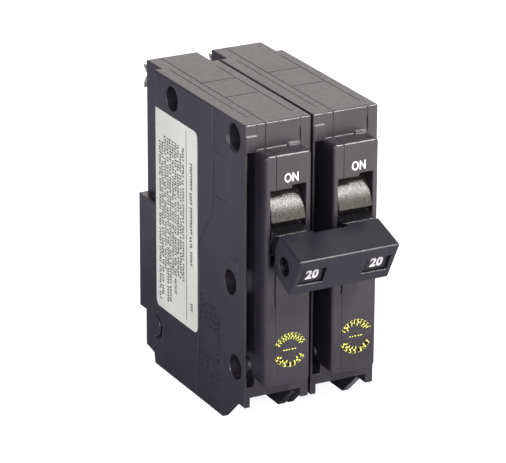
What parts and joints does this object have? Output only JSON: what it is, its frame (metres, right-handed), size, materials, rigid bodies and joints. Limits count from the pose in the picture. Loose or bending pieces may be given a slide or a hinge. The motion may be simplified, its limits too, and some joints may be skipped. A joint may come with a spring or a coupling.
{
  "type": "two-pole circuit breaker",
  "caption": "Plug-on thermal-magnetic circuit breaker for a load centre, with toggle handles joined by a common tie and a screw terminal for each pole.",
  "frame": {"origin": "on the rear seating plane, midway between the two poles, at the height of the step in the rear of the case", "axes": "+Z towards the line end (jaws, ON side of the handle), -Y out of the panel towards the user, +X to the right"},
  "size_m": [0.0379, 0.0809, 0.0826],
  "materials": {
    "case_plastic": "moulded thermoset, fine satin texture",
    "handle_plastic": "moulded thermoset, satin",
    "tie_plastic": "moulded nylon, satin",
    "tinned_copper": "tin plated, dull",
    "copper": "bright copper",
    "copper_braid": "braided copper",
    "silver_contact": "satin silver",
    "plated_steel": "zinc plated",
    "zinc_steel": "yellowish zinc plated",
    "spring_steel": "oiled spring steel",
    "bimetal": "satin",
    "rivet_steel": "blackened",
    "fibre": "vulcanised fibre",
    "label_paper": "printed paper sticker"
  },
  "bodies": {
    "case": {"case_cover_left": "case_plastic", "case_cover_right": "case_plastic", "case_base_left": "case_plastic", "case_base_right": "case_plastic", "line_jaw_left": "tinned_copper", "line_jaw_right": "tinned_copper", "jaw_spring_left": "spring_steel", "jaw_spring_right": "spring_steel", "line_strap_left": "copper", "line_strap_right": "copper", "fixed_contact_left": "silver_contact", "fixed_contact_right": "silver_contact", "arc_plates_left": "plated_steel", "arc_plates_right": "plated_steel", "arc_chute_cheeks_left": "fibre", "arc_chute_cheeks_right": "fibre", "toggle_spring_left": "spring_steel", "toggle_spring_right": "spring_steel", "load_strap_left": "tinned_copper", "load_strap_right": "tinned_copper", "bimetal_left": "bimetal", "bimetal_right": "bimetal", "magnet_yoke_left": "plated_steel", "magnet_yoke_right": "plated_steel", "calibration_screw_left": "plated_steel", "calibration_screw_right": "plated_steel", "braid_left": "copper_braid", "braid_right": "copper_braid", "case_rivets": "rivet_steel", "side_label": "label_paper"},
    "handle": {"handle_left": "handle_plastic", "handle_right": "handle_plastic", "handle_tie": "tie_plastic", "tie_pin": "plated_steel"},
    "trip_bar": {"trip_bar": "tie_plastic"},
    "contact_arm_left": {"contact_arm_left": "copper", "moving_contact_left": "silver_contact"},
    "cradle_left": {"cradle_left": "plated_steel"},
    "armature_left": {"armature_left": "plated_steel"},
    "pressure_plate_left": {"pressure_plate_left": "zinc_steel"},
    "terminal_screw_left": {"terminal_screw_left": "zinc_steel"},
    "contact_arm_right": {"contact_arm_right": "copper", "moving_contact_right": "silver_contact"},
    "cradle_right": {"cradle_right": "plated_steel"},
    "armature_right": {"armature_right": "plated_steel"},
    "pressure_plate_right": {"pressure_plate_right": "zinc_steel"},
    "terminal_screw_right": {"terminal_screw_right": "zinc_steel"}
  },
  "joints": [
    {"name": "handle_swing", "type": "hinge", "parent": "case", "child": "handle", "pos_m": [0, -0.056, 0.011], "axis": [-1, 0, 0], "range_deg": [0, 45], "deforming": ["toggle_spring_left", "toggle_spring_right", "braid_left", "braid_right"]},
    {"name": "trip_bar_turn", "type": "hinge", "parent": "case", "child": "trip_bar", "pos_m": [0, -0.0433, -0.014], "axis": [-1, 0, 0], "range_deg": [0, 12], "stiffness_Nm_per_rad": 0.01},
    {"name": "contact_arm_turn_left", "type": "hinge", "parent": "handle", "child": "contact_arm_left", "pos_m": [-0.00955, -0.04907, 0.01387], "axis": [-1, 0, 0], "range_deg": [-40.1, 0]},
    {"name": "armature_turn_left", "type": "hinge", "parent": "case", "child": "armature_left", "pos_m": [-0.00955, -0.0361, -0.028], "axis": [1, 0, 0], "range_deg": [0, 4]},
    {"name": "cradle_turn_left", "type": "hinge", "parent": "case", "child": "cradle_left", "pos_m": [-0.00955, -0.014, -0.003], "axis": [-1, 0, 0], "range_deg": [0, 15]},
    {"name": "pressure_plate_slide_left", "type": "slide", "parent": "case", "child": "pressure_plate_left", "axis": [0, 1, 0], "range_m": [0, 0.0056]},
    {"name": "terminal_screw_turn_left", "type": "hinge", "parent": "pressure_plate_left", "child": "terminal_screw_left", "pos_m": [-0.00955, -0.04, -0.0403], "axis": [0, 1, 0], "range_deg": [0, 2520.5]},
    {"name": "contact_arm_turn_right", "type": "hinge", "parent": "handle", "child": "contact_arm_right", "pos_m": [0.0095, -0.04907, 0.01387], "axis": [-1, 0, 0], "range_deg": [-40.1, 0]},
    {"name": "armature_turn_right", "type": "hinge", "parent": "case", "child": "armature_right", "pos_m": [0.0095, -0.0361, -0.028], "axis": [1, 0, 0], "range_deg": [0, 4]},
    {"name": "cradle_turn_right", "type": "hinge", "parent": "case", "child": "cradle_right", "pos_m": [0.0095, -0.014, -0.003], "axis": [-1, 0, 0], "range_deg": [0, 15]},
    {"name": "pressure_plate_slide_right", "type": "slide", "parent": "case", "child": "pressure_plate_right", "axis": [0, 1, 0], "range_m": [0, 0.0056]},
    {"name": "terminal_screw_turn_right", "type": "hinge", "parent": "pressure_plate_right", "child": "terminal_screw_right", "pos_m": [0.0095, -0.04, -0.0403], "axis": [0, 1, 0], "range_deg": [0, 2520.5]}
  ],
  "couplings": [
    {"joint": "contact_arm_turn_left", "follows": "handle_swing", "ratio": -0.8889},
    {"joint": "armature_turn_left", "follows": "trip_bar_turn", "ratio": 0.33333},
    {"joint": "cradle_turn_left", "follows": "trip_bar_turn", "ratio": 1.25},
    {"joint": "terminal_screw_turn_left", "follows": "pressure_plate_slide_left", "rad_per_m": 7854},
    {"joint": "contact_arm_turn_right", "follows": "handle_swing", "ratio": -0.8889},
    {"joint": "armature_turn_right", "follows": "trip_bar_turn", "ratio": 0.33333},
    {"joint": "cradle_turn_right", "follows": "trip_bar_turn", "ratio": 1.25},
    {"joint": "terminal_screw_turn_right", "follows": "pressure_plate_slide_right", "rad_per_m": 7854}
  ]
}
